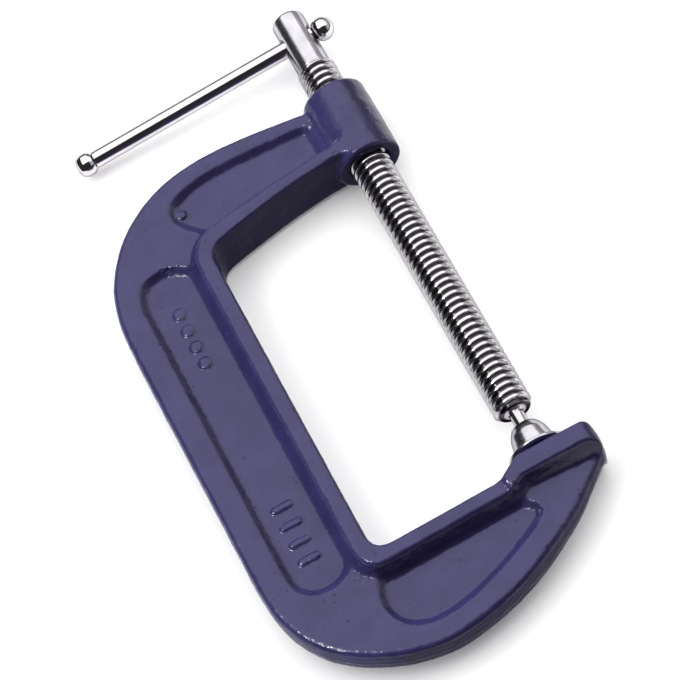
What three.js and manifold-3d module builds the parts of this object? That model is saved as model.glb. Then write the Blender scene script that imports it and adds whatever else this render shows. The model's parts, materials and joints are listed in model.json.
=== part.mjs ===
// A 100 mm C clamp lying on its side.
// Drawing frame: X runs from the spine to the open mouth, Y runs along the screw from the anvil to
// the handle, Z is up through the thickness. The drawing's zero is the centre of the anvil's face, on
// the screw's axis; at the end the clamp is moved so that the origin is the centre of its box's base.
import * as THREE from "three";
import { mergeVertices } from "three/addons/utils/BufferGeometryUtils.js";
import Module from "manifold-3d";

const wasm = await Module();
wasm.setup();

// Frame casting
const FLANGE_HALF = 9.6; // half width of the raised flange around the mouth
const ANVIL_HALF = 10.3; // half width of the anvil plate
const RIM_HALF = 5.2; // half thickness of the outer rim
const WEB_HALF = 3.2; // half thickness of the web at the pocket floors
const RIM_ROUND = 1.5; // rounding of the outer edge
const POCKET_RUN = 2.2; // how far a pocket's wall leans in from the rim to the floor
const FLANGE_RUN = 3.2; // how far the flange's wall leans out from its face to the web
const MOUTH_BREAK = 0.7; // broken edge of the mouth
const SPINE_INNER_X = -56.8;
const NOSE_X = 17.3;
const NOSE_ROUND = 5; // corners of the nose, seen from above the anvil
const ANVIL_END_ROUND = 3.5;
const BOSS_R = 10.7;
const BOSS_BOTTOM = 116.6;
const BOSS_TOP = 144.4;
const BOSS_ROUND = 1.6;
const BORE_CHAMFER = 1;

// Plain raised casting marks on the spine's web, in two columns along it
const MARK_HEIGHT = 0.6;
const MARK_X = -74.4;
const MARK_COUNT = 4;
const MARK_SPACING = 6.4;
const FIRST_BAR_Y = 5;
const FIRST_PIP_Y = 80;
const GATE_X = -59; // the small pip in the top arm's pocket
const GATE_Y = 130.4;

// Screw
const THREAD_R = 6.35;
const PITCH = 2.54;
const THREAD_DEPTH = 1.35;
const THREAD_START = 17.2;
const THREAD_END = 157.4;
const THREAD_STEPS = 10; // steps per turn
const HEAD_R = 5.6;
const HEAD_TOP = 179.1;
const HEAD_ROUND = 1.4;
const CLEARANCE = 0.3;
const CROSS_HOLE_LENGTH = 20; // longer than the head is wide

// Tommy bar
const BAR_R = 2.8;
const BAR_Y = 169.4;
const BAR_YAW = THREE.MathUtils.degToRad(3.7); // how far the handle is turned at rest
const BAR_LEFT = -75.3; // where the bar meets its collar
const BAR_RIGHT = 5.2; // where the bar meets its ball
const SPIGOT_R = 2.2;
const SPIGOT_LENGTH = 3.6;
const COLLAR_R = 3.85;
const COLLAR_LENGTH = 5.8;
const BALL_END_R = 3.95;
const BALL_END_X = 8.4;

// Swivel shoe
const SHOE_GAP = 1.0; // the shoe hangs this far above the anvil at rest
const SHOE_DISC_R = 9.5;
const SHOE_DISC_TOP = 2.5;
const SHOE_DISC_BREAK = 0.9;
const SHOE_TOP = 11.5;
const NECK_R = 2.3;
const BALL_R = 3.6;
const BALL_Y = 6.4;
const WASHER_BOTTOM = 9.2;
const WASHER_TOP = 9.8;
const WASHER_INNER_R = 2.75;
const WASHER_R = 3.6;

const ROUND_STEPS = 32;
const v2 = (x, y) => new THREE.Vector2(x, y);
const points = (list) => list.map(([x, y]) => v2(x, y));

// Solids

function toSolid(geometry) {
  const bare = new THREE.BufferGeometry();
  bare.setAttribute("position", geometry.getAttribute("position").clone());
  if (geometry.index) bare.setIndex(geometry.index.clone());
  const merged = mergeVertices(bare, 1e-5);
  const index = [];
  for (let i = 0; i < merged.index.count; i += 3) {
    const [a, b, c] = [0, 1, 2].map((k) => merged.index.getX(i + k));
    if (a !== b && b !== c && c !== a) index.push(a, b, c);
  }
  return new wasm.Manifold(
    new wasm.Mesh({
      numProp: 3,
      vertProperties: new Float32Array(merged.getAttribute("position").array),
      triVerts: new Uint32Array(index),
    }),
  );
}

function toGeometry(solid) {
  const mesh = solid.getMesh();
  const geometry = new THREE.BufferGeometry();
  geometry.setAttribute("position", new THREE.BufferAttribute(mesh.vertProperties, 3));
  geometry.setIndex(new THREE.BufferAttribute(mesh.triVerts, 1));
  return geometry;
}

function outline(path, divisions = 3) {
  const list = path.getPoints(divisions).filter((p, i, all) => i === 0 || p.distanceTo(all[i - 1]) > 1e-3);
  if (list[0].distanceTo(list[list.length - 1]) < 1e-3) list.pop();
  return THREE.ShapeUtils.isClockWise(list) ? list.reverse() : list;
}

// Moves a counter-clockwise outline outwards, or inwards where the distance is negative.
function offset(ring, distance) {
  return ring.map((p, i) => {
    const before = p.clone().sub(ring[(i + ring.length - 1) % ring.length]).normalize();
    const after = ring[(i + 1) % ring.length].clone().sub(p).normalize();
    const normal = v2(before.y + after.y, -before.x - after.x).normalize();
    const stretch = Math.max(normal.dot(v2(after.y, -after.x)), 0.5);
    return p.clone().addScaledVector(normal, distance / stretch);
  });
}

// A closed body through level rings of equal length, listed from the lowest up.
function stack(levels) {
  const positions = [];
  const index = [];
  const count = levels[0].ring.length;
  for (const { ring, z } of levels) for (const p of ring) positions.push(p.x, p.y, z);
  for (let level = 0; level + 1 < levels.length; level++) {
    for (let i = 0; i < count; i++) {
      const a = level * count + i;
      const b = level * count + ((i + 1) % count);
      index.push(a, b, b + count, a, b + count, a + count);
    }
  }
  const top = (levels.length - 1) * count;
  const area = ({ ring }) => THREE.ShapeUtils.area(ring);
  const widest = levels.reduce((best, level) => (area(level) > area(best) ? level : best));
  for (const [a, b, c] of THREE.ShapeUtils.triangulateShape(widest.ring, [])) {
    index.push(a, c, b, top + a, top + b, top + c);
  }
  const geometry = new THREE.BufferGeometry();
  geometry.setAttribute("position", new THREE.Float32BufferAttribute(positions, 3));
  geometry.setIndex(index);
  return toSolid(geometry);
}

// The same outline on both sides of the middle plane: pairs of height and outward offset.
function mirrored(ring, profile) {
  const above = profile.map(([z, out]) => ({ z, ring: offset(ring, out) }));
  const below = above.map(({ z, ring: r }) => ({ z: -z, ring: r })).reverse();
  return stack([...below, ...above]);
}

function turned(profile, steps = ROUND_STEPS) {
  return toSolid(new THREE.LatheGeometry(points(profile), steps));
}

// An arc of profile points around a centre, between two angles in degrees.
function arc(x, y, radius, from, to, steps = 4) {
  return Array.from({ length: steps + 1 }, (_, i) => {
    const angle = THREE.MathUtils.degToRad(from + ((to - from) * i) / steps);
    return [x + radius * Math.cos(angle), y + radius * Math.sin(angle)];
  });
}

// Frame outlines

function outerOutline() {
  const path = new THREE.Path();
  path.moveTo(0, 141.6);
  path.lineTo(-9, 142.2);
  path.splineThru(points([[-25, 144.6], [-42, 146], [-57, 144.6], [-70, 139.6], [-81, 130.6],
    [-89, 118.5], [-92.4, 105], [-93, 88]]));
  path.lineTo(-92.7, 2);
  path.splineThru(points([[-91.3, -9], [-87.5, -18.5], [-81.5, -26.4], [-72, -33.4], [-60, -38.6],
    [-47, -40.4], [-32, -38.2], [-16, -32.4], [0, -23.4], [9, -16.2], [14.5, -11.5]]));
  path.quadraticCurveTo(NOSE_X, -9.2, NOSE_X, -6);
  path.lineTo(NOSE_X, 60);
  path.lineTo(0, 100);
  return outline(path);
}

// The mouth, open to +X: the anvil, its shoulder, the lower arm, the spine and the top arm's underside.
function mouthOutline() {
  const path = new THREE.Path();
  path.moveTo(40, -ANVIL_END_ROUND);
  path.lineTo(NOSE_X, -ANVIL_END_ROUND);
  path.absarc(NOSE_X - ANVIL_END_ROUND, -ANVIL_END_ROUND, ANVIL_END_ROUND, 0, Math.PI / 2);
  path.lineTo(-5, 0);
  path.quadraticCurveTo(-7, -0.1, -9.5, -1.5);
  path.lineTo(-13, -3.6);
  path.quadraticCurveTo(-14.6, -4.5, -17, -4.6);
  path.lineTo(-51, -5.2);
  path.quadraticCurveTo(SPINE_INNER_X, -5.2, SPINE_INNER_X, 1);
  path.lineTo(SPINE_INNER_X, 106.5);
  path.quadraticCurveTo(SPINE_INNER_X, 111.2, -52, 112.4);
  path.quadraticCurveTo(-26, 118.9, -4, 119.4);
  path.lineTo(40, 119.4);
  return outline(path, 5);
}

// The face of the raised flange. It runs on past the nose and the boss, where other solids bound it.
function flangeOutline() {
  const path = new THREE.Path();
  path.moveTo(0, 124.6);
  path.splineThru(points([[-20, 122.8], [-40, 120.3], [-53, 118.4]]));
  path.quadraticCurveTo(-59, 117.4, -61.4, 111.5);
  path.quadraticCurveTo(-62.3, 109, -62.3, 104);
  path.lineTo(-62.3, -1);
  path.quadraticCurveTo(-62.3, -10.3, -54, -10.4);
  path.lineTo(-15, -9.6);
  path.quadraticCurveTo(-12, -9.4, -8.5, -6.7);
  path.lineTo(10.5, -6.5);
  path.quadraticCurveTo(15, -6.6, NOSE_X, -8);
  path.lineTo(26, -10);
  path.lineTo(26, 60);
  path.lineTo(0, 100);
  return outline(path, 4);
}

function anvilOutline() {
  const path = new THREE.Path();
  path.moveTo(-13.2, -9.3);
  path.lineTo(-8.5, -6.7);
  path.lineTo(10.5, -6.5);
  path.quadraticCurveTo(15, -6.6, NOSE_X, -7.6);
  path.lineTo(30, -9.6);
  path.lineTo(30, 20);
  path.lineTo(-5, 20);
  path.lineTo(-13.6, -4);
  return outline(path);
}

function upperPocket() {
  const path = new THREE.Path();
  path.moveTo(-10.6, 120);
  path.lineTo(-10.6, 134.5);
  path.quadraticCurveTo(-10.7, 138, -14.5, 138.2);
  path.splineThru(points([[-27, 139.1], [-41, 139.7], [-51, 139], [-58, 137], [-62, 134], [-62.8, 129.6],
    [-61, 125], [-57.5, 121]]));
  path.lineTo(-55, 116);
  path.lineTo(-40, 117.5);
  return outline(path);
}

function spinePocket() {
  const path = new THREE.Path();
  path.moveTo(-60, 104);
  path.splineThru(points([[-63.5, 110.3], [-67.5, 114], [-73, 115.8], [-78.8, 114.9], [-82.6, 111.4],
    [-84.2, 105]]));
  path.lineTo(-84, 3);
  path.splineThru(points([[-82.8, -3], [-79, -6.8], [-73.5, -8.2], [-68, -6.9], [-64, -3.6], [-60.5, 2]]));
  return outline(path);
}

function lowerPocket() {
  const path = new THREE.Path();
  path.moveTo(-55, -8);
  path.splineThru(points([[-60.2, -13], [-62.3, -19.5], [-60.8, -26.2], [-56.4, -31], [-49, -33],
    [-38, -31.7], [-26, -28], [-14, -22.6], [-8.2, -18.8], [-7, -15.6], [-9.5, -12.4]]));
  path.lineTo(-14, -8);
  return outline(path);
}

// Plain raised marks on the spine's web: upright bars near the lower end, round pips near the upper end.
function castingMarks() {
  const marks = [];
  const sink = 0.5;
  const height = MARK_HEIGHT + sink;
  for (const side of [1, -1]) {
    const z = side * (WEB_HALF + (MARK_HEIGHT - sink) / 2);
    const upright = (side * Math.PI) / 2;
    for (let i = 0; i < MARK_COUNT; i++) {
      const bar = new THREE.BoxGeometry(7.4, 2.2, height);
      marks.push(toSolid(bar.translate(MARK_X, FIRST_BAR_Y + i * MARK_SPACING, z)));
      const pip = new THREE.CylinderGeometry(2, 2.3, height, 16);
      marks.push(toSolid(pip.rotateX(upright).translate(MARK_X, FIRST_PIP_Y + i * MARK_SPACING, z)));
    }
    const gate = new THREE.CylinderGeometry(1.4, 1.7, height, 12);
    marks.push(toSolid(gate.rotateX(upright).translate(GATE_X, GATE_Y, z)));
  }
  return marks;
}

// Seen from above the anvil, the nose's corners are round; everything else fits inside this block.
function planBlock() {
  const half = BOSS_R + 0.2;
  const path = new THREE.Path();
  path.moveTo(-120, -half);
  path.lineTo(NOSE_X - NOSE_ROUND, -half);
  path.absarc(NOSE_X - NOSE_ROUND, -half + NOSE_ROUND, NOSE_ROUND, -Math.PI / 2, 0);
  path.absarc(NOSE_X - NOSE_ROUND, half - NOSE_ROUND, NOSE_ROUND, 0, Math.PI / 2);
  path.lineTo(-120, half);
  const ring = outline(path, 3);
  const block = new THREE.ExtrudeGeometry(new THREE.Shape(ring), { depth: 250, bevelEnabled: false });
  return toSolid(block.rotateX(-Math.PI / 2).translate(0, -80, 0));
}

function frameSolid() {
  const step = RIM_ROUND * (1 - Math.SQRT1_2);
  const rim = [[RIM_HALF - RIM_ROUND, 0], [RIM_HALF - step, -step], [RIM_HALF, -RIM_ROUND]];
  let web = mirrored(outerOutline(), rim);
  for (const pocket of [upperPocket(), spinePocket(), lowerPocket()]) {
    for (const side of [1, -1]) {
      const floor = { z: side * WEB_HALF, ring: offset(pocket, -POCKET_RUN) };
      const mouth = { z: side * (RIM_HALF + 0.5), ring: offset(pocket, 0.4) };
      web = web.subtract(stack(side > 0 ? [floor, mouth] : [mouth, floor]));
    }
  }
  const bounds = mirrored(outerOutline(), [[BOSS_R + 1, 0]]);
  const flange = mirrored(flangeOutline(), [[WEB_HALF - 0.4, FLANGE_RUN], [FLANGE_HALF, 0]]);
  const anvil = mirrored(anvilOutline(), [[WEB_HALF, 0.6], [ANVIL_HALF, 0]]);
  let solid = web.add(flange.intersect(bounds)).add(anvil.intersect(bounds));
  for (const mark of castingMarks()) solid = solid.add(mark);
  const mouth = [[FLANGE_HALF - MOUTH_BREAK, 0], [FLANGE_HALF + MOUTH_BREAK, MOUTH_BREAK * 2]];
  solid = solid.subtract(mirrored(mouthOutline(), mouth)).intersect(planBlock());
  const round = BOSS_ROUND;
  const boss = turned([[0, BOSS_BOTTOM],
    ...arc(BOSS_R - round, BOSS_BOTTOM + round, round, -90, 0, 3),
    ...arc(BOSS_R - round, BOSS_TOP - round, round, 0, 90, 3), [0, BOSS_TOP]]);
  const boreR = THREAD_R + CLEARANCE;
  const wide = boreR + BORE_CHAMFER;
  const bore = turned([[0, BOSS_BOTTOM - 2], [wide, BOSS_BOTTOM - 2], [wide, BOSS_BOTTOM],
    [boreR, BOSS_BOTTOM + BORE_CHAMFER], [boreR, BOSS_TOP - BORE_CHAMFER], [wide, BOSS_TOP],
    [wide, BOSS_TOP + 2], [0, BOSS_TOP + 2]]);
  return solid.add(boss).subtract(bore);
}

// Spindle

// The body of a right-hand trapezoid thread, a little longer at both ends than the finished thread.
function threadSolid() {
  const turns = Math.ceil((THREAD_END - THREAD_START) / PITCH) + 2;
  const rootR = THREAD_R - THREAD_DEPTH;
  // Radius and share of the pitch: a flat root, a flank, a flat crest, and the flank back down.
  const section = [[rootR, 0], [rootR, 0.36], [THREAD_R, 0.5], [THREAD_R, 0.86]];
  const sections = turns * THREAD_STEPS;
  const positions = [];
  const y0 = THREAD_START - PITCH;
  for (let k = 0; k <= sections; k++) {
    const angle = (-2 * Math.PI * k) / THREAD_STEPS;
    for (const [radius, share] of section) {
      const y = y0 + PITCH * (k / THREAD_STEPS + share);
      positions.push(radius * Math.cos(angle), y, radius * Math.sin(angle));
    }
  }
  const corner = (k, i) => k * section.length + i;
  const next = (k, i) => (i + 1 < section.length ? corner(k, i + 1) : corner(k + THREAD_STEPS, 0));
  const index = [];
  const last = sections - THREAD_STEPS;
  for (let k = 0; k < last; k++) {
    for (let i = 0; i < section.length; i++) {
      const [a, b, c, d] = [corner(k, i), corner(k + 1, i), next(k + 1, i), next(k, i)];
      index.push(a, b, c, a, c, d);
    }
  }
  for (const [end, y] of [[0, y0 - PITCH], [last, y0 + PITCH * (turns + 1)]]) {
    const hub = positions.length / 3;
    positions.push(0, y, 0);
    const edge = [];
    for (let k = 0; k <= THREAD_STEPS; k++) edge.push(corner(end + k, 0));
    for (let i = section.length - 1; i > 0; i--) edge.push(corner(end, i));
    edge.forEach((a, i) => {
      const b = edge[(i + 1) % edge.length];
      index.push(...(end === 0 ? [hub, b, a] : [hub, a, b]));
    });
  }
  const geometry = new THREE.BufferGeometry();
  geometry.setAttribute("position", new THREE.Float32BufferAttribute(positions, 3));
  geometry.setIndex(index);
  return toSolid(geometry);
}

function spindleSolid() {
  const chamfer = THREAD_DEPTH;
  const runOut = 1;
  const reach = THREAD_R + 1;
  const envelope = turned([[0, THREAD_START], [THREAD_R - chamfer, THREAD_START],
    [THREAD_R, THREAD_START + chamfer], [reach, THREAD_START + chamfer], [reach, THREAD_END - runOut],
    [HEAD_R - 0.6, THREAD_END], [0, THREAD_END]]);
  const head = turned([[0, THREAD_END - runOut], [HEAD_R, THREAD_END - runOut],
    ...arc(HEAD_R - HEAD_ROUND, HEAD_TOP - HEAD_ROUND, HEAD_ROUND, 0, 90), [0, HEAD_TOP]]);
  const neck = turned([...arc(0, BALL_Y, BALL_R, -90, 50, 10), [NECK_R, BALL_Y + 3.2],
    [NECK_R, THREAD_START - 2], [NECK_R + 0.5, THREAD_START + 0.5], [0, THREAD_START + 0.5]]);
  const holeR = BAR_R + CLEARANCE;
  const hole = toSolid(new THREE.CylinderGeometry(holeR, holeR, CROSS_HOLE_LENGTH, ROUND_STEPS)
    .rotateZ(Math.PI / 2).rotateY(-BAR_YAW).translate(0, BAR_Y, 0));
  return threadSolid().intersect(envelope).add(head).add(neck).subtract(hole);
}

// Tommy bar: the profiles run along the bar and are turned about it.

function alongBar(profile, steps = 24) {
  return toGeometry(turned(profile.map(([x, radius]) => [radius, x]), steps)).rotateZ(-Math.PI / 2);
}

function barGeometry() {
  const left = BAR_LEFT - SPIGOT_LENGTH;
  const right = BAR_RIGHT + SPIGOT_LENGTH;
  return alongBar([[left, 0], [left, SPIGOT_R], [BAR_LEFT, SPIGOT_R], [BAR_LEFT, BAR_R],
    [BAR_RIGHT, BAR_R], [BAR_RIGHT, SPIGOT_R], [right, SPIGOT_R], [right, 0]]);
}

function collarGeometry() {
  const right = BAR_LEFT - CLEARANCE;
  const left = right - COLLAR_LENGTH;
  const hole = SPIGOT_R + CLEARANCE;
  const depth = BAR_LEFT - SPIGOT_LENGTH - CLEARANCE;
  return alongBar([[left, 0], [left + 0.2, 2.2], [left + 1.2, COLLAR_R - 0.3], [left + 2.4, COLLAR_R],
    [right - 1.2, COLLAR_R], [right - 0.3, COLLAR_R - 0.3], [right, COLLAR_R - 0.9], [right, hole],
    [depth, hole], [depth, 0]]);
}

function ballEndGeometry() {
  const hole = SPIGOT_R + CLEARANCE;
  const depth = BAR_RIGHT + SPIGOT_LENGTH + CLEARANCE;
  const mouthX = BALL_END_X - Math.sqrt(BALL_END_R ** 2 - (hole + 0.3) ** 2);
  const mouthAngle = THREE.MathUtils.radToDeg(Math.acos((mouthX - BALL_END_X) / BALL_END_R));
  return alongBar([[depth, 0], [depth, hole], [mouthX, hole],
    ...arc(BALL_END_X, 0, BALL_END_R, mouthAngle, 0, 10)]);
}

// Swivel shoe

function shoeCupSolid() {
  return turned([[5, SHOE_DISC_TOP], [7, SHOE_DISC_TOP], [6.5, 5.4], [5.9, 8.4],
    ...arc(3.75, 9.75, 1.75, 25, 90, 4), [3.1, SHOE_TOP], [3.1, 10.5], [4.1, 10.2], [4.25, 9.4],
    [5, 8.2], [5, SHOE_DISC_TOP]]);
}

function shoeBaseSolid() {
  const rim = SHOE_DISC_R - SHOE_DISC_BREAK;
  return turned([[0, SHOE_GAP], [rim, SHOE_GAP], [SHOE_DISC_R, SHOE_GAP + 0.5],
    [SHOE_DISC_R, SHOE_DISC_TOP - 0.4], [SHOE_DISC_R - 0.4, SHOE_DISC_TOP], [0, SHOE_DISC_TOP]], 40);
}

function washerSolid() {
  return turned([[WASHER_INNER_R, WASHER_BOTTOM], [WASHER_R, WASHER_BOTTOM], [WASHER_R, WASHER_TOP],
    [WASHER_INNER_R, WASHER_TOP], [WASHER_INNER_R, WASHER_BOTTOM]]);
}

// Assembly

const enamel = new THREE.MeshStandardMaterial({ color: 0x4b4876, roughness: 0.32, metalness: 0 });
const steel = new THREE.MeshStandardMaterial({ color: 0xb9b4bb, roughness: 0.22, metalness: 1 });
const dullSteel = new THREE.MeshStandardMaterial({ color: 0x8c8a90, roughness: 0.45, metalness: 1 });

function piece(name, geometry, material) {
  const mesh = new THREE.Mesh(geometry, material);
  mesh.name = name;
  return mesh;
}

const handle = new THREE.Group();
handle.add(piece("tommy_bar", barGeometry(), steel));
handle.add(piece("bar_collar", collarGeometry(), steel));
handle.add(piece("bar_ball", ballEndGeometry(), steel));
handle.position.y = BAR_Y;
handle.rotation.y = -BAR_YAW;

const clamp = new THREE.Group();
clamp.add(piece("frame", toGeometry(frameSolid()), enamel));
clamp.add(piece("spindle", toGeometry(spindleSolid()), steel));
clamp.add(handle);
clamp.add(piece("retaining_washer", toGeometry(washerSolid()), dullSteel));
clamp.add(piece("shoe_cup", toGeometry(shoeCupSolid()), steel));
clamp.add(piece("shoe_base", toGeometry(shoeBaseSolid()), steel));

// The origin is the centre of the base of the clamp's box.
const box = new THREE.Box3().setFromObject(clamp, true);
clamp.position.set(-(box.min.x + box.max.x) / 2, -(box.min.y + box.max.y) / 2, -box.min.z);

const part = new THREE.Group();
part.add(clamp);
export default part;
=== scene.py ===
import json
import math

import bmesh
import bpy
import numpy as np
from mathutils import Matrix, Vector


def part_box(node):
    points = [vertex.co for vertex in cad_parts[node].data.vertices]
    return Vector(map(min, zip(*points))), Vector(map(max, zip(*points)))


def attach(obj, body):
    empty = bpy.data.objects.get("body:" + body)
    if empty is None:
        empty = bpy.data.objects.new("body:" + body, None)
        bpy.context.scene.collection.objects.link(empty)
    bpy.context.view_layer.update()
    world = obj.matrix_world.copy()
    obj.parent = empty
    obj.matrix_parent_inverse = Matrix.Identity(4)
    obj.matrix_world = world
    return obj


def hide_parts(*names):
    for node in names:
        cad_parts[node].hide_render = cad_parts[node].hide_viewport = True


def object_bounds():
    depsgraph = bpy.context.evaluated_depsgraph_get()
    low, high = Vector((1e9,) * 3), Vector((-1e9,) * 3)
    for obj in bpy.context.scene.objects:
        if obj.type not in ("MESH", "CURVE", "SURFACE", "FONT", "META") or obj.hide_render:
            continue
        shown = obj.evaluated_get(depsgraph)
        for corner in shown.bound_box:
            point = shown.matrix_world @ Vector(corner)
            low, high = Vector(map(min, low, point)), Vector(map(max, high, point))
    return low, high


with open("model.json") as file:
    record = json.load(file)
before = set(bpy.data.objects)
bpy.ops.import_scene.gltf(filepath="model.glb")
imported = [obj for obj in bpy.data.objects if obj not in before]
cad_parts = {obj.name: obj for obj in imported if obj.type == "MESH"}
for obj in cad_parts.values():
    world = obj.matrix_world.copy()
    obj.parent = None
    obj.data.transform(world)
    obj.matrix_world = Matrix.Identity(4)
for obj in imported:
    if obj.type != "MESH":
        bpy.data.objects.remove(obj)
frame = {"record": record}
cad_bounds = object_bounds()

# Shapes are drawn in millimetres: X from the spine to the open mouth, Y up the screw, Z up through the
# thickness, and zero at the centre of the anvil's face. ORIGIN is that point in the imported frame, in metres.
MM = 0.001
SHOE_GAP = 1.0
TURN = next(j for j in frame["record"]["behaviour"]["joints"] if j["name"] == "screw_turn")
ORIGIN = Vector((TURN["pos_m"][0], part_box("shoe_base")[0][1] - SHOE_GAP * MM, TURN["pos_m"][2]))

# Frame casting
FLANGE_HALF = 9.6
ANVIL_HALF = 10.3
RIM_HALF = 5.2
WEB_HALF = 3.2
RIM_ROUND = 2.4
POCKET_RUN = 2.6
FLANGE_RUN = 3.2
DRAFT = 0.035
SPINE_INNER_X = -56.8
NOSE_X = 17.3
NOSE_ROUND = 5.0
NOSE_THINNING = 1.5  # how much thinner the rim is at the nose, on each side
ANVIL_END_ROUND = 3.5
BOSS_R = 10.7
BOSS_BOTTOM = 116.6
BOSS_TOP = 144.4
BOSS_ROUND = 1.1
MARK_HEIGHT = 0.6
MARK_X = -74.4
MARK_COUNT = 4
MARK_SPACING = 6.4
FIRST_BAR_Y = 5
FIRST_PIP_Y = 80
BAR_HALF_LENGTH = 2.6
BAR_MARK_R = 1.1
PIP_R = 2.1
GATE_X = -59.2  # the small ring-shaped pip in the top arm's pocket
GATE_Y = 130.6
CELL = 0.48  # size of the casting's mesh cells
CASTING_TRIANGLES = 190000
# Inner corners where the enamel is taken to have run and dried in beads
PAINT_RUNS = ((-63.5, -9.5), (-8, -17), (-11.5, -7), (-10.5, 137), (-9.5, 121), (-63.5, 112), (-71, 115.5))

# Screw and handle
THREAD_R = 6.35
PITCH = 2.54
THREAD_DEPTH = 1.35
THREAD_START = 17.2
THREAD_END = 157.4
HEAD_R = 5.6
HEAD_TOP = 179.1
HEAD_ROUND = 1.8
BAR_R = 2.8
BAR_Y = 169.4
BAR_YAW = math.radians(3.7)
BAR_LEFT = -75.3
BAR_RIGHT = 5.2
SPIGOT_R = 2.2
SPIGOT_LENGTH = 3.6
CLEARANCE = 0.3
COLLAR_R = 3.85
COLLAR_LENGTH = 5.8
BALL_END_R = 3.95
BALL_END_X = 8.4

# Swivel shoe
SHOE_DISC_R = 9.5
SHOE_DISC_TOP = 2.5
SHOE_TOP = 11.5
NECK_R = 2.3
BALL_R = 3.6
BALL_Y = 6.4
WASHER_BOTTOM = 9.2
WASHER_TOP = 9.8
WASHER_INNER_R = 2.75
WASHER_R = 3.6

# Camera
CAMERA_TILT = math.radians(29.0)
CAMERA_SIDE = math.radians(2.0)
CAMERA_ROLL = math.radians(29.25)
CAMERA_DISTANCE = 1.0627
CAMERA_LENS = 185.3


# ---------------------------------------------------------------- meshes

def make_object(name, points_mm, faces, body, node, slot, material):
    """A mesh from points in the drawing's millimetres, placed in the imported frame."""
    mesh = bpy.data.meshes.new(name)
    points = np.asarray(points_mm, dtype=np.float64) * MM + np.array(ORIGIN)
    mesh.from_pydata(points.tolist(), [], [list(map(int, f)) for f in faces])
    mesh.validate()
    mesh.update()
    mesh.shade_smooth()
    piece = bpy.data.objects.new(name, mesh)
    bpy.context.scene.collection.objects.link(piece)
    mesh.materials.append(material)
    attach(piece, body)
    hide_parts(node)
    return piece


def inner_box():
    """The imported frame's box, drawn in by a hair, so that nothing modelled here passes it."""
    hair = 0.02 * MM
    return [[v + hair for v in cad_bounds[0]], [v - hair for v in cad_bounds[1]]]


def weld(piece, distance=1e-7):
    """Joins points that lie together and turns every face outwards."""
    edit = bmesh.new()
    edit.from_mesh(piece.data)
    bmesh.ops.remove_doubles(edit, verts=edit.verts, dist=distance)
    bmesh.ops.dissolve_degenerate(edit, edges=edit.edges, dist=distance)
    bmesh.ops.recalc_face_normals(edit, faces=edit.faces)
    edit.to_mesh(piece.data)
    edit.free()
    piece.data.shade_smooth()


def even_normals(piece):
    """Lets the larger faces steer the shading, so that flats look flat beside their roundings."""
    weighted = piece.modifiers.new("even_normals", "WEIGHTED_NORMAL")
    weighted.weight = 80
    weighted.keep_sharp = False


def arc(x, y, radius, start, end, steps=8):
    angles = np.radians(np.linspace(start, end, steps + 1))
    return [(x + radius * math.cos(a), y + radius * math.sin(a)) for a in angles]


def rounded(corners, steps=5):
    """A profile through corners given as (x, y) or (x, y, radius), with those radii rounded."""
    line = []
    for i, corner in enumerate(corners):
        here = np.array(corner[:2], dtype=float)
        if len(corner) < 3 or i in (0, len(corners) - 1):
            line.append(tuple(here))
            continue
        before = np.array(corners[i - 1][:2], dtype=float) - here
        after = np.array(corners[i + 1][:2], dtype=float) - here
        before /= np.linalg.norm(before)
        after /= np.linalg.norm(after)
        half = math.acos(np.clip(before @ after, -1, 1)) / 2
        reach = corner[2] / math.tan(half)
        middle = here + (before + after) / np.linalg.norm(before + after) * corner[2] / math.sin(half)
        first, last = here + before * reach - middle, here + after * reach - middle
        turn = math.pi - 2 * half
        sign = math.copysign(1, first[0] * last[1] - first[1] * last[0])
        for k in range(steps + 1):
            a = sign * turn * k / steps
            spin = np.array([[math.cos(a), -math.sin(a)], [math.sin(a), math.cos(a)]])
            line.append(tuple(middle + spin @ first))
    return line


def turned(profile, segments=128):
    """Points and faces of a profile of (radius, height) turned about the Y axis."""
    angles = np.arange(segments) * 2 * math.pi / segments
    points, faces = [], []
    for radius, height in profile:
        for a in angles:
            points.append((radius * math.cos(a), height, -radius * math.sin(a)))
    for row in range(len(profile) - 1):
        for k in range(segments):
            a = row * segments + k
            b = row * segments + (k + 1) % segments
            faces.append((a, b, b + segments, a + segments))
    return np.array(points), faces


def along_bar(profile, segments=96):
    """Points and faces of a profile of (place along the bar, radius) turned about the bar."""
    points, faces = turned([(radius, x) for x, radius in profile], segments)
    spin = Matrix.Rotation(-BAR_YAW, 3, "Y") @ Matrix.Rotation(-math.pi / 2, 3, "Z")
    points = points @ np.array(spin).T
    points[:, 1] += BAR_Y
    return points, faces


# ---------------------------------------------------------------- outlines

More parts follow.
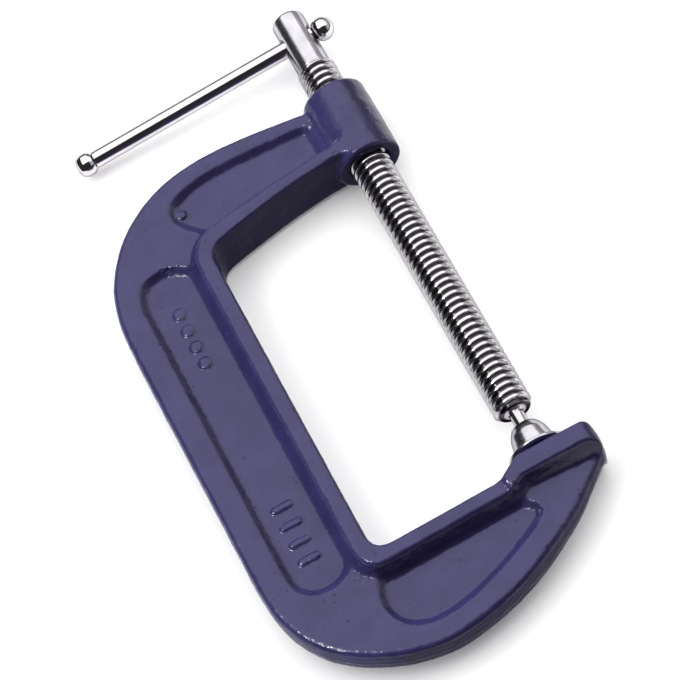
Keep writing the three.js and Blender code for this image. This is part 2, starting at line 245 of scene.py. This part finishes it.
class Outline:
    """A closed outline of straight lines, arcs and smooth curves, as a list of points."""

    def __init__(self, x, y):
        self.points = [np.array((x, y), dtype=float)]

    def line(self, x, y):
        self.points.append(np.array((x, y), dtype=float))
        return self

    def quad(self, cx, cy, x, y, steps=10):
        start, bend, end = self.points[-1], np.array((cx, cy)), np.array((x, y))
        for t in np.linspace(0, 1, steps + 1)[1:]:
            self.points.append((1 - t) ** 2 * start + 2 * t * (1 - t) * bend + t * t * end)
        return self

    def arc(self, x, y, radius, start, end, steps=10):
        self.points += [np.array(p) for p in arc(x, y, radius, start, end, steps)]
        return self

    def through(self, *places, steps=8):
        knots = [self.points[-1]] + [np.array(p, dtype=float) for p in places]
        for i in range(len(knots) - 1):
            a, b = knots[max(i - 1, 0)], knots[i]
            c, d = knots[i + 1], knots[min(i + 2, len(knots) - 1)]
            for t in np.linspace(0, 1, steps + 1)[1:]:
                m0, m1 = (c - a) / 2, (d - b) / 2
                self.points.append((2 * b - 2 * c + m0 + m1) * t ** 3
                                   + (-3 * b + 3 * c - 2 * m0 - m1) * t ** 2 + m0 * t + b)
        return self

    def distance(self, grid_x, grid_y):
        """Signed distance to the outline, negative inside."""
        px, py = grid_x.ravel(), grid_y.ravel()
        nearest = np.full(px.shape, 1e9)
        inside = np.zeros(px.shape, dtype=bool)
        ring = np.array(self.points)
        for (ax, ay), (bx, by) in zip(ring, np.roll(ring, -1, axis=0)):
            dx, dy = bx - ax, by - ay
            length = dx * dx + dy * dy
            if length < 1e-12:
                continue
            t = np.clip(((px - ax) * dx + (py - ay) * dy) / length, 0, 1)
            nearest = np.minimum(nearest, (px - ax - t * dx) ** 2 + (py - ay - t * dy) ** 2)
            if ay != by:
                crosses = (ay > py) != (by > py)
                inside ^= crosses & (px < (py - ay) / (by - ay) * dx + ax)
        signed = np.where(inside, -1, 1) * np.sqrt(nearest)
        return signed.reshape(grid_x.shape).astype(np.float32)


def outer_outline():
    shape = Outline(0, 141.6).line(-9, 142.2)
    shape.through((-25, 144.6), (-42, 146), (-57, 144.6), (-70, 139.6), (-81, 130.6), (-89, 118.5),
                  (-92.4, 105), (-93, 88))
    shape.line(-92.7, 2)
    shape.through((-91.3, -9), (-87.5, -18.5), (-81.5, -26.4), (-72, -33.4), (-60, -38.6), (-47, -40.4),
                  (-32, -38.2), (-16, -32.4), (0, -23.4), (9, -16.2), (14.5, -11.5))
    return shape.quad(NOSE_X, -9.2, NOSE_X, -6).line(NOSE_X, 60).line(0, 100)


def mouth_outline():
    shape = Outline(40, -ANVIL_END_ROUND).line(NOSE_X, -ANVIL_END_ROUND)
    shape.arc(NOSE_X - ANVIL_END_ROUND, -ANVIL_END_ROUND, ANVIL_END_ROUND, 0, 90)
    shape.line(-5, 0).quad(-7, -0.1, -9.5, -1.5).line(-13, -3.6).quad(-14.6, -4.5, -17, -4.6)
    shape.line(-51, -5.2).quad(SPINE_INNER_X, -5.2, SPINE_INNER_X, 1).line(SPINE_INNER_X, 106.5)
    shape.quad(SPINE_INNER_X, 111.2, -52, 112.4).quad(-26, 118.9, -4, 119.4)
    return shape.line(40, 119.4)


def flange_outline():
    shape = Outline(0, 124.6).through((-20, 122.8), (-40, 120.3), (-53, 118.4))
    shape.quad(-59, 117.4, -61.4, 111.5).quad(-62.3, 109, -62.3, 104).line(-62.3, -1)
    shape.quad(-62.3, -10.3, -54, -10.4).line(-15, -9.6).quad(-12, -9.4, -8.5, -6.7)
    shape.line(10.5, -6.5).quad(15, -6.6, NOSE_X, -8).line(26, -10)
    return shape.line(26, 60).line(0, 100)


def anvil_outline():
    shape = Outline(-13.2, -9.3).line(-8.5, -6.7).line(10.5, -6.5).quad(15, -6.6, NOSE_X, -7.6)
    return shape.line(30, -9.6).line(30, 20).line(-5, 20).line(-13.6, -4)


def upper_pocket():
    shape = Outline(-10.6, 120).line(-10.6, 134.5).quad(-10.7, 138, -14.5, 138.2)
    shape.through((-27, 139.1), (-41, 139.7), (-51, 139), (-58, 137), (-62, 134), (-62.8, 129.6),
                  (-61, 125), (-57.5, 121))
    return shape.line(-55, 116).line(-40, 117.5)


def spine_pocket():
    shape = Outline(-60, 104).through((-63.5, 110.3), (-67.5, 114), (-73, 115.8), (-78.8, 114.9),
                                      (-82.6, 111.4), (-84.2, 105))
    shape.line(-84, 3)
    return shape.through((-82.8, -3), (-79, -6.8), (-73.5, -8.2), (-68, -6.9), (-64, -3.6), (-60.5, 2))


def lower_pocket():
    shape = Outline(-55, -8)
    shape.through((-60.2, -13), (-62.3, -19.5), (-60.8, -26.2), (-56.4, -31), (-49, -33), (-38, -31.7),
                  (-26, -28), (-14, -22.6), (-8.2, -18.8), (-7, -15.6), (-9.5, -12.4))
    return shape.line(-14, -8)


# ---------------------------------------------------------------- solids as distance fields

def soft_min(a, b, width):
    """The smaller of two fields, with a fillet of about that width where they meet."""
    overlap = np.maximum(width - np.abs(a - b), 0) / width
    return np.minimum(a, b) - overlap * overlap * width / 4


def soft_max(a, b, width):
    return -soft_min(-a, -b, width)


def rounded_pair(a, b, radius):
    """The overlap of two fields, with the edge between them rounded to a radius."""
    qa, qb = a + radius, b + radius
    return np.minimum(np.maximum(qa, qb), 0) + np.hypot(np.maximum(qa, 0), np.maximum(qb, 0)) - radius


def surface_of(field, low, cell):
    """Points and faces of the surface where a field on a grid is zero, one point to a crossed cell."""
    inside = field < 0
    count = sum(inside[i:i + field.shape[0] - 1, j:j + field.shape[1] - 1, k:k + field.shape[2] - 1]
                .astype(np.int8) for i in (0, 1) for j in (0, 1) for k in (0, 1))
    cells = np.argwhere((count > 0) & (count < 8))
    number = np.full(count.shape, -1)
    number[tuple(cells.T)] = np.arange(len(cells))
    total = np.zeros((len(cells), 3))
    hits = np.zeros(len(cells))
    for axis in range(3):
        step = np.eye(3, dtype=int)[axis]
        others = [o for o in range(3) if o != axis]
        for u in (0, 1):
            for v in (0, 1):
                corner = np.zeros(3, dtype=int)
                corner[others[0]], corner[others[1]] = u, v
                a = field[tuple((cells + corner).T)]
                b = field[tuple((cells + corner + step).T)]
                crossed = (a < 0) != (b < 0)
                share = np.where(crossed, a / np.where(crossed, a - b, 1), 0)
                place = cells + corner + share[:, None] * step
                total += place * crossed[:, None]
                hits += crossed
    points = total / hits[:, None] * cell + np.array(low)
    faces = []
    for axis in range(3):
        step = np.eye(3, dtype=int)[axis]
        first, second = np.eye(3, dtype=int)[(axis + 1) % 3], np.eye(3, dtype=int)[(axis + 2) % 3]
        near = [slice(1, -1)] * 3
        far = [slice(1, -1)] * 3
        near[axis], far[axis] = slice(0, -1), slice(1, None)
        starts, ends = inside[tuple(near)], inside[tuple(far)]
        for wanted, flip in ((starts & ~ends, False), (~starts & ends, True)):
            at = np.argwhere(wanted) + 1 - step
            ring = [number[tuple((at - o).T)] for o in (first + second, second, 0 * step, first)]
            quads = np.stack(ring[::-1] if flip else ring, axis=1)
            faces.append(quads)
    return points, np.concatenate(faces)


def even_out(points, faces, rounds=2, share=0.5):
    """Moves each point part of the way to its neighbours' mean, which takes out the grid's fine steps."""
    pairs = np.concatenate([faces[:, [k, (k + 1) % 4]] for k in range(4)])
    for _ in range(rounds):
        total = np.zeros_like(points)
        hits = np.zeros(len(points))
        np.add.at(total, pairs[:, 0], points[pairs[:, 1]])
        np.add.at(hits, pairs[:, 0], 1)
        points = points + share * (total / hits[:, None] - points)
    return points


def waves(points, length, seed):
    """A smooth random height of about -1 to 1 over space, with bumps of about that length."""
    random = np.random.default_rng(seed)
    height = np.zeros(len(points))
    for _ in range(24):
        direction = random.normal(size=3)
        direction /= np.linalg.norm(direction)
        wave = 2 * math.pi / (length * random.uniform(0.7, 1.6))
        height += np.sin(points @ direction * wave + random.uniform(0, 2 * math.pi))
    return height / 5


# ---------------------------------------------------------------- frame casting

def frame_field(low, high):
    """The casting's distance field on its upper half, z from 0 up, and the grid's x, y and z lines."""
    xs = np.arange(low[0], high[0], CELL)
    ys = np.arange(low[1], high[1], CELL)
    zs = np.arange(0, high[2], CELL)
    flat_x, flat_y = np.meshgrid(xs, ys, indexing="ij")
    x, y = flat_x[..., None].astype(np.float32), flat_y[..., None].astype(np.float32)
    z = zs[None, None, :].astype(np.float32)

    def plan(shape):
        return shape.distance(flat_x, flat_y)[..., None]

    outer = plan(outer_outline()) + DRAFT * z - 0.15
    nose = np.where(y < 20, np.clip((x + 16) / 28, 0, 1), 0)
    rim = RIM_HALF - NOSE_THINNING * nose * nose * (3 - 2 * nose)
    solid = rounded_pair(outer, z - rim, RIM_ROUND)
    lean = POCKET_RUN / (RIM_HALF - WEB_HALF)
    for pocket in (upper_pocket(), spine_pocket(), lower_pocket()):
        wall = (plan(pocket) + (RIM_HALF - z) * lean) / math.hypot(1, lean)
        hollow = soft_max(wall, WEB_HALF - z, 0.6)
        solid = soft_max(solid, -hollow, 0.4)
    marks = [(np.abs(x - MARK_X) - BAR_HALF_LENGTH, y - FIRST_BAR_Y - MARK_SPACING * i, BAR_MARK_R)
             for i in range(MARK_COUNT)]
    marks += [(np.abs(x - MARK_X), y - FIRST_PIP_Y - MARK_SPACING * i, PIP_R) for i in range(MARK_COUNT)]
    for across, up, radius in marks:
        pad = np.hypot(np.maximum(across, 0), up) - radius
        pad = soft_max(pad, z - WEB_HALF - MARK_HEIGHT, 0.5)
        solid = soft_min(solid, pad, 0.5)
    gate = np.hypot(x - GATE_X, y - GATE_Y)
    gate = soft_max(np.abs(gate - 0.9) - 0.7, z - WEB_HALF - 0.9, 0.5)
    solid = soft_min(solid, gate, 0.6)

    spread = FLANGE_RUN / (FLANGE_HALF - WEB_HALF)
    wall = (plan(flange_outline()) - (FLANGE_HALF - z) * spread) / math.hypot(1, spread)
    flange = soft_max(wall, z - FLANGE_HALF, 1.0)
    solid = soft_min(solid, flange, 1.0)
    wall = plan(anvil_outline()) - (ANVIL_HALF - z) * 0.12
    anvil = soft_max(wall, z - ANVIL_HALF, 1.0)
    solid = soft_max(soft_min(solid, anvil, 1.2), outer, 0.8)
    solid = soft_max(solid, -plan(mouth_outline()), 1.4)
    nose_x, nose_z = x - NOSE_X + NOSE_ROUND, z - ANVIL_HALF + NOSE_ROUND
    block = np.hypot(np.maximum(nose_x, 0), np.maximum(nose_z, 0)) - NOSE_ROUND
    solid = soft_max(solid, np.where((nose_x > 0) & (nose_z > 0), block, -1.5), 0.4)

    middle, half = (BOSS_BOTTOM + BOSS_TOP) / 2, (BOSS_TOP - BOSS_BOTTOM) / 2
    radius = np.hypot(x, z)
    boss = rounded_pair(radius - BOSS_R + 0.1, np.abs(y - middle) - half, BOSS_ROUND)
    solid = soft_min(solid, boss, 1.4)
    past = np.abs(y - middle) - half
    bore = np.maximum(radius - THREAD_R - 0.15 - np.clip(past + 1.0, 0, 1), past - 1.5)
    solid = soft_max(solid, -bore, 0.4)
    return solid, zs


def frame_casting(material):
    """Both halves of the field as one mesh, with the sand's waviness, paint beads and parting seam."""
    low, high = (-95.0, -43.0, 0.0), (20.0, 149.0, 12.0)
    field, zs = frame_field(low, high)
    field = np.concatenate([field[:, :, :0:-1], field], axis=2)
    points, faces = surface_of(field, (low[0], low[1], -zs[-1]), CELL)
    points = even_out(points, faces)
    piece = make_object("frame_casting", points, faces, "frame", "frame", "enamel", material)
    normals = np.empty(len(points) * 3)
    piece.data.vertices.foreach_get("normal", normals)
    normals = normals.reshape(-1, 3)
    rough = 0.05 * waves(points, 9.0, 3) + 0.022 * waves(points, 3.2, 5) + 0.010 * waves(points, 1.6, 8)
    for x, y in PAINT_RUNS:
        near = np.exp(-((points[:, 0] - x) ** 2 + (points[:, 1] - y) ** 2) / 1.8 ** 2)
        rough += near * (0.30 * waves(points, 1.6, 11) + 0.15)
    facing_y = (np.abs(normals[:, 1]) > 0.97) & (points[:, 1] > -1) & (points[:, 1] < 1)
    rough = np.where(facing_y, rough * 0.3, rough) - 0.05
    seam = 0.10 * np.exp(-(points[:, 2] / 0.35) ** 2) * (np.abs(normals[:, 2]) < 0.5)
    points = points + normals * (rough + seam)[:, None]
    points = np.clip(points, *[(np.array(side) - np.array(ORIGIN)) / MM for side in inner_box()])
    piece.data.vertices.foreach_set("co", (points * MM + np.array(ORIGIN)).ravel())
    piece.data.update()
    fewer = piece.modifiers.new("fewer_faces", "DECIMATE")
    fewer.ratio = CASTING_TRIANGLES / (2 * len(faces))
    return piece


# ---------------------------------------------------------------- spindle

def thread_rows():
    """One pitch of the thread: pairs of share of the pitch and share of the depth cut away."""
    side = [(0.0, 0), (0.165, 0), (0.185, 0.02), (0.2, 0.08),
            (0.3, 0.9), (0.315, 0.975), (0.34, 1), (0.42, 1)]
    return side + [(1 - share, cut) for share, cut in side[:0:-1]]


def spindle_screw(material, segments=80):
    """The ball, neck and helical thread in one skin. Rows of the thread climb one pitch to a turn."""
    bottom = [(max(r, 0), y) for r, y in arc(0, BALL_Y, BALL_R, -90, 48, 18)]
    bottom += rounded([(NECK_R, BALL_Y + 2.9), (NECK_R, THREAD_START, 0.8),
                       (THREAD_R - THREAD_DEPTH, THREAD_START)])
    turns = range(-1, int((THREAD_END - THREAD_START) / PITCH) + 2)
    rows = [(turn + share, cut) for turn in turns for share, cut in thread_rows()]
    angles = np.arange(segments + 1) * 2 * math.pi / segments
    root = THREAD_R - THREAD_DEPTH
    points = [(r * math.cos(a), y, -r * math.sin(a)) for r, y in bottom for a in angles]
    for place, cut in rows:
        for a in angles:
            y = THREAD_START + PITCH * (place + a / (2 * math.pi))
            y_held = min(max(y, THREAD_START), THREAD_END)
            start = root + (y_held - THREAD_START) * 0.9
            end = root + (THREAD_END - y_held) * 1.6
            radius = min(THREAD_R - THREAD_DEPTH * cut, max(start, root), max(end, root))
            points.append((radius * math.cos(a), y_held, -radius * math.sin(a)))
    points += [(0.0, THREAD_END, 0.0) for _ in angles]
    count = segments + 1
    faces = [(row * count + k, row * count + k + 1, (row + 1) * count + k + 1, (row + 1) * count + k)
             for row in range(len(points) // count - 1) for k in range(segments)]
    piece = make_object("spindle_screw", points, faces, "spindle", "spindle", "bright_steel", material)
    weld(piece)
    return piece


def spindle_head(material, cell=0.25):
    """The plain head, with a rounded-over cross hole for the bar."""
    low = np.array((-HEAD_R - 1, THREAD_END - 2.5, -HEAD_R - 1))
    high = np.array((HEAD_R + 1, HEAD_TOP + 1, HEAD_R + 1))
    x, y, z = np.meshgrid(*[np.arange(a, b, cell) for a, b in zip(low, high)], indexing="ij")
    middle, half = (THREAD_END - 1.5 + HEAD_TOP) / 2, (HEAD_TOP - THREAD_END + 1.5) / 2
    head = rounded_pair(np.hypot(x, z) - HEAD_R, np.abs(y - middle) - half, HEAD_ROUND)
    across = x * math.sin(BAR_YAW) - z * math.cos(BAR_YAW)
    hole = np.hypot(across, y - BAR_Y) - BAR_R - CLEARANCE
    field = soft_max(head, -hole, 0.9)
    points, faces = surface_of(field, low, cell)
    points = even_out(points, faces, rounds=3)
    return make_object("spindle_head", points, faces, "spindle", "spindle", "bright_steel", material)


# ---------------------------------------------------------------- tommy bar and shoe

def tommy_bar(material):
    left, right = BAR_LEFT - SPIGOT_LENGTH, BAR_RIGHT + SPIGOT_LENGTH
    profile = rounded([(left, 0), (left, SPIGOT_R, 0.2), (BAR_LEFT, SPIGOT_R), (BAR_LEFT, BAR_R, 0.3),
                       (BAR_RIGHT, BAR_R, 0.3), (BAR_RIGHT, SPIGOT_R), (right, SPIGOT_R, 0.2), (right, 0)])
    piece = make_object("tommy_bar_rod", *along_bar(profile), "handle", "tommy_bar", "bright_steel", material)
    weld(piece)
    even_normals(piece)


def bar_collar(material):
    right = BAR_LEFT - CLEARANCE
    left = right - COLLAR_LENGTH
    hole, depth = SPIGOT_R + CLEARANCE, BAR_LEFT - SPIGOT_LENGTH - CLEARANCE
    profile = rounded([(left, 0), (left + 0.05, 1.6, 3.0), (left + 0.9, 3.3, 1.2),
                       (left + 2.6, COLLAR_R, 2.5), (right - 1.3, COLLAR_R, 1.2),
                       (right, COLLAR_R - 0.75, 0.35), (right, hole, 0.2), (depth, hole), (depth, 0)])
    piece = make_object("bar_collar_cap", *along_bar(profile), "handle", "bar_collar", "bright_steel",
                        material)
    weld(piece)
    even_normals(piece)


def bar_ball(material):
    hole, depth = SPIGOT_R + CLEARANCE, BAR_RIGHT + SPIGOT_LENGTH + CLEARANCE
    mouth = math.degrees(math.acos(-math.sqrt(BALL_END_R ** 2 - (hole + 0.3) ** 2) / BALL_END_R))
    ball = arc(BALL_END_X, 0, BALL_END_R, mouth, 0, 40)
    profile = [(depth, 0), (depth, hole), (ball[0][0] + 0.1, hole)] + [(x, max(r, 0)) for x, r in ball]
    piece = make_object("bar_ball_knob", *along_bar(profile), "handle", "bar_ball", "bright_steel", material)
    weld(piece)
    even_normals(piece)


def shoe(steel, dull):
    """The bell-shaped cup, the contact disc under it and the ring in its mouth."""
    cup = rounded([(5, SHOE_DISC_TOP), (7, SHOE_DISC_TOP, 0.2), (6.55, 5.2, 8), (5.9, 8.4, 4),
                   (5.2, 9.9, 1.2), (4.4, 11.1, 0.8), (3.7, SHOE_TOP, 0.3), (3.1, SHOE_TOP, 0.2),
                   (3.1, 10.5), (4.1, 10.2), (4.25, 9.4), (5, 8.2), (5, SHOE_DISC_TOP)])
    disc = rounded([(0, SHOE_GAP), (SHOE_DISC_R - 0.9, SHOE_GAP, 0.4), (SHOE_DISC_R, SHOE_GAP + 0.6, 0.4),
                    (SHOE_DISC_R, SHOE_DISC_TOP, 0.35), (0, SHOE_DISC_TOP)])
    washer = rounded([(WASHER_INNER_R, WASHER_BOTTOM), (WASHER_R, WASHER_BOTTOM, 0.1),
                      (WASHER_R, WASHER_TOP, 0.1), (WASHER_INNER_R, WASHER_TOP, 0.1),
                      (WASHER_INNER_R, WASHER_BOTTOM)])
    for name, profile, body, node, slot, material in (
            ("shoe_cup_bell", cup, "shoe", "shoe_cup", "bright_steel", steel),
            ("shoe_contact_disc", disc, "shoe", "shoe_base", "bright_steel", steel),
            ("retaining_washer_ring", washer, "carriage", "retaining_washer", "dull_steel", dull)):
        piece = make_object(name, *turned(profile), body, node, slot, material)
        weld(piece)
        even_normals(piece)


# ---------------------------------------------------------------- materials

class Nodes:
    """A short way to write a node tree."""

    def __init__(self, name):
        self.material = bpy.data.materials.new(name)
        self.material.use_nodes = True
        self.tree = self.material.node_tree
        self.shader = self.tree.nodes["Principled BSDF"]
        self.place = self.add("ShaderNodeTexCoord").outputs["Object"]

    def add(self, kind, inputs=None, **settings):
        node = self.tree.nodes.new(kind)
        for key, value in settings.items():
            setattr(node, key, value)
        for key, value in (inputs or {}).items():
            if isinstance(value, bpy.types.NodeSocket):
                self.tree.links.new(value, node.inputs[key])
            else:
                node.inputs[key].default_value = value
        return node

    def noise(self, size_mm, detail=2.0, roughness=0.5, stretch=(1, 1, 1)):
        scaled = self.add("ShaderNodeMapping", {"Vector": self.place, "Scale": stretch}).outputs["Vector"]
        node = self.add("ShaderNodeTexNoise", {"Vector": scaled, "Scale": 1 / (size_mm * MM),
                                               "Detail": detail, "Roughness": roughness})
        return node.outputs["Fac"]

    def remap(self, value, low, high, to_low, to_high):
        node = self.add("ShaderNodeMapRange", {"Value": value, "From Min": low, "From Max": high,
                                               "To Min": to_low, "To Max": to_high})
        return node.outputs["Result"]

    def mix(self, share, first, second):
        node = self.add("ShaderNodeMix", data_type="RGBA")
        for index, value in ((0, share), (6, first), (7, second)):
            if isinstance(value, bpy.types.NodeSocket):
                self.tree.links.new(value, node.inputs[index])
            else:
                node.inputs[index].default_value = value
        return node.outputs[2]

    def bump(self, height, depth_mm, strength=1.0, normal=None):
        inputs = {"Height": height, "Distance": depth_mm * MM, "Strength": strength}
        if normal:
            inputs["Normal"] = normal
        return self.add("ShaderNodeBump", inputs).outputs["Normal"]

    def link(self, value, socket):
        self.tree.links.new(value, self.shader.inputs[socket])


def enamel_material():
    """Glossy blue enamel over a sand casting, made duller on the sides, with painted shade on the sides, in
    the creases and on the faces turned to the nose, and lighter convex edges.
    """
    n = Nodes("blue_enamel")
    base, deep, wear_and_highlight = (0.035, 0.030, 0.108, 1), (0.026, 0.022, 0.084, 1), (0.066, 0.059, 0.160, 1)
    cloud = n.remap(n.noise(9, 4), 0.35, 0.65, 0, 1)
    fleck = n.remap(n.noise(1.5, 3), 0.3, 0.7, 0, 0.45)
    edge = n.add("ShaderNodeNewGeometry").outputs["Pointiness"]
    edge_wear_and_highlight = n.remap(edge, 0.54, 0.62, 0, 0.6)
    pits = n.remap(n.noise(1.5, 1), 0.74, 0.79, 0, 1)
    normal = n.add("ShaderNodeTexCoord").outputs["Normal"]
    facing = n.add("ShaderNodeSeparateXYZ", {0: normal}).outputs["Z"]
    away = n.add("ShaderNodeVectorMath", {0: normal, 1: (0.75, -0.66, 0)}, operation="DOT_PRODUCT")
    shaded = n.remap(away.outputs["Value"], 0.14, 0.4, 0, 0.75)
    # Convex edges are made lighter: partly thin, worn enamel, partly a painted highlight along the rims.
    colour = n.mix(edge_wear_and_highlight, n.mix(fleck, n.mix(cloud, deep, base), deep), wear_and_highlight)
    colour = n.mix(pits, colour, (0.016, 0.013, 0.040, 1))
    # Painted shade: the concave corners and creases are darkened.
    colour = n.mix(n.remap(edge, 0.43, 0.496, 0.9, 0), colour, (0.012, 0.009, 0.026, 1))
    # Painted shade: the faces turned to the nose are darkened, which is a guess.
    colour = n.mix(shaded, colour, (0.013, 0.010, 0.030, 1))
    # Painted shade: faces turned sideways, away from up and down, are darkened; they are also given less
    # specular.
    upward = n.add("ShaderNodeMath", {0: facing}, operation="ABSOLUTE").outputs["Value"]
    n.link(n.mix(n.remap(upward, 0.1, 0.42, 0.2, 0), colour, (0.012, 0.009, 0.030, 1)), "Base Color")
    n.link(n.remap(upward, 0.15, 0.55, 0.05, 0.5), "Specular IOR Level")
    n.link(n.remap(n.noise(4, 4), 0.3, 0.7, 0.15, 0.27), "Roughness")
    peel = n.bump(n.noise(3.2, 3, 0.55), 0.30, 0.9)
    sand = n.bump(n.noise(1.0, 3, 0.6), 0.07, 0.8, peel)
    pitted = n.add("ShaderNodeBump", {"Height": pits, "Distance": 0.12 * MM, "Strength": 0.7, "Normal": sand},
                   invert=True)
    n.link(pitted.outputs["Normal"], "Normal")
    n.shader.inputs["IOR"].default_value = 1.42
    return n.material


def steel_material(name, colour, low, high, stretch, root_shade=None):
    """Plated steel: bright, with soft cloudy roughness and fine marks drawn out along one axis.
    The last argument gives two radii from the screw's axis: shade painted into the thread's roots up to the
    first, clean past the second."""
    n = Nodes(name)
    dark = tuple(c * 0.84 for c in colour)
    clean = n.mix(n.remap(n.noise(5, 3), 0.35, 0.7, 0, 1), (*dark, 1), (*colour, 1))
    rough = n.remap(n.noise(2.2, 4, 0.6, stretch), 0.3, 0.7, low, high)
    if root_shade:
        flat = n.add("ShaderNodeMapping", {"Vector": n.place, "Scale": (1, 0, 1),
                                           "Location": (-ORIGIN.x, 0, -ORIGIN.z)}).outputs["Vector"]
        radius = n.add("ShaderNodeVectorMath", {0: flat}, operation="LENGTH").outputs["Value"]
        flank = n.remap(radius, root_shade[0] * MM, root_shade[1] * MM, 0, 1)
        neck = n.remap(radius, (root_shade[0] - 1.6) * MM, (root_shade[0] - 1.2) * MM, 1, 0)
        share = n.add("ShaderNodeMath", {0: flank, 1: neck}, operation="MAXIMUM").outputs["Value"]
        # Painted shade: the thread's roots are darkened.
        clean = n.mix(share, (0.085, 0.075, 0.082, 1), clean)
    n.link(clean, "Base Color")
    n.link(rough, "Roughness")
    n.link(n.bump(n.noise(0.25, 2, 0.6, stretch), 0.005, 0.5), "Normal")
    n.shader.inputs["Metallic"].default_value = 1.0
    n.shader.inputs["Specular Tint"].default_value = (0.25, 0.23, 0.27, 1)
    return n.material


# ---------------------------------------------------------------- stage

def look_at(place, target):
    return (target - place).to_track_quat("-Z", "Y").to_euler()


SOFTBOX = 1.65  # brightness of the overhead light


def softbox(name, place, target, width, height, watts):
    light = bpy.data.lights.new(name, "AREA")
    light.shape = "RECTANGLE"
    light.size, light.size_y, light.energy = width, height, watts
    lamp = bpy.data.objects.new(name, light)
    lamp.location = place
    lamp.rotation_euler = look_at(Vector(place), target)
    bpy.context.scene.collection.objects.link(lamp)
    return lamp


def studio_world():
    """A dark studio, with a pale panel part way up the wall on the side of the open mouth."""
    world = bpy.data.worlds.new("studio")
    world.use_nodes = True
    tree = world.node_tree
    place = tree.nodes.new("ShaderNodeTexCoord")
    parts = tree.nodes.new("ShaderNodeSeparateXYZ")
    panel = tree.nodes.new("ShaderNodeMath")
    panel.operation = "MULTIPLY_ADD"
    panel.inputs[2].default_value = 0.03
    tree.links.new(place.outputs["Generated"], parts.inputs[0])
    for index, (axis, low, high, most) in enumerate((("X", 0.50, 0.80, 0.60), ("Z", 0.05, 0.25, 1.0))):
        fade = tree.nodes.new("ShaderNodeMapRange")
        tree.links.new(parts.outputs[axis], fade.inputs["Value"])
        tree.links.new(fade.outputs["Result"], panel.inputs[index])
        for name, value in (("From Min", low), ("From Max", high), ("To Min", 0), ("To Max", most)):
            fade.inputs[name].default_value = value
    tree.links.new(panel.outputs["Value"], tree.nodes["Background"].inputs["Strength"])
    tree.nodes["Background"].inputs["Color"].default_value = (1.0, 0.97, 1.0, 1)
    bpy.context.scene.world = world


def stage():
    """A pale floor under an overhead softbox, two fills that don't reflect and a point that only reflects."""
    reach, level = 1.6, cad_bounds[0][2]
    mesh = bpy.data.meshes.new("floor")
    corners = ((-reach, -reach), (reach, -reach), (reach, reach), (-reach, reach))
    mesh.from_pydata([(x, y, level) for x, y in corners], [], [(0, 1, 2, 3)])
    floor = bpy.data.objects.new("floor", mesh)
    bpy.context.scene.collection.objects.link(floor)
    n = Nodes("pale_floor")
    n.shader.inputs["Base Color"].default_value = (0.93, 0.93, 0.93, 1)
    n.shader.inputs["Roughness"].default_value = 0.9
    n.shader.inputs["Specular IOR Level"].default_value = 0.1
    n.shader.inputs["Emission Color"].default_value = (1, 1, 1, 1)
    n.shader.inputs["Emission Strength"].default_value = 0.12
    mesh.materials.append(n.material)

    height, left, right, near, far = 1.5, -0.94, 2.0, -0.26, 3.3
    above = Vector(((left + right) / 2, (near + far) / 2, height))
    width, depth = right - left, far - near
    down = Vector((0, 0, 1))
    softbox("softbox_top", above, above - down, width, depth, SOFTBOX * math.pi * width * depth)
    for side, place, watts in (("left", (-1.5, 0.5, 1.25), 52), ("right", (1.1, 0.1, 1.6), 20)):
        fill = softbox("fill_" + side, place, Vector((0, 0, 0)), 2.6, 2.6, watts)
        fill.visible_glossy = False
    glint = softbox("glint", (-0.55, 0.04, 1.18), Vector((0, 0, 0)), 0.07, 0.07, 5.5)
    glint.visible_diffuse = False
    studio_world()
    bpy.context.scene.view_settings.view_transform = "Standard"


def camera():
    """Looks down at the clamp from the anvil's side, rolled so that the screw leans to the left."""
    back = Vector((-math.sin(CAMERA_SIDE), -math.sin(CAMERA_TILT) * math.cos(CAMERA_SIDE),
                   math.cos(CAMERA_TILT) * math.cos(CAMERA_SIDE)))
    up = (Vector((0, 1, 0)) - back.y * back).normalized()
    right = up.cross(back)
    turn = Matrix.Rotation(-CAMERA_ROLL, 3, back)
    axes = Matrix((turn @ right, turn @ up, back)).transposed()
    target = ORIGIN + Vector((-35.0, 66.8, 0)) * MM
    data = bpy.data.cameras.new("camera")
    data.lens, data.sensor_width = CAMERA_LENS, 36.0
    data.clip_start, data.clip_end = 0.05, 20
    eye = bpy.data.objects.new("camera", data)
    eye.matrix_world = Matrix.Translation(target + back * CAMERA_DISTANCE) @ axes.to_4x4()
    bpy.context.scene.collection.objects.link(eye)
    bpy.context.scene.camera = eye


camera()
stage()
enamel = enamel_material()
turned_steel = steel_material("bright_steel_screw", (0.60, 0.58, 0.62), 0.17, 0.28, (1, 8, 1))
threaded_steel = steel_material("threaded_steel", (0.66, 0.645, 0.66), 0.12, 0.24, (1, 8, 1),
                                (THREAD_R - THREAD_DEPTH, THREAD_R - 0.85))
drawn_steel = steel_material("bright_steel_bar", (0.72, 0.70, 0.73), 0.05, 0.12, (0.15, 4, 4))
plain_steel = steel_material("plain_steel", (0.32, 0.31, 0.33), 0.3, 0.5, (1, 6, 1))
frame_casting(enamel)
spindle_screw(threaded_steel)
spindle_head(turned_steel)
tommy_bar(drawn_steel)
bar_collar(drawn_steel)
bar_ball(drawn_steel)
shoe(turned_steel, plain_steel)
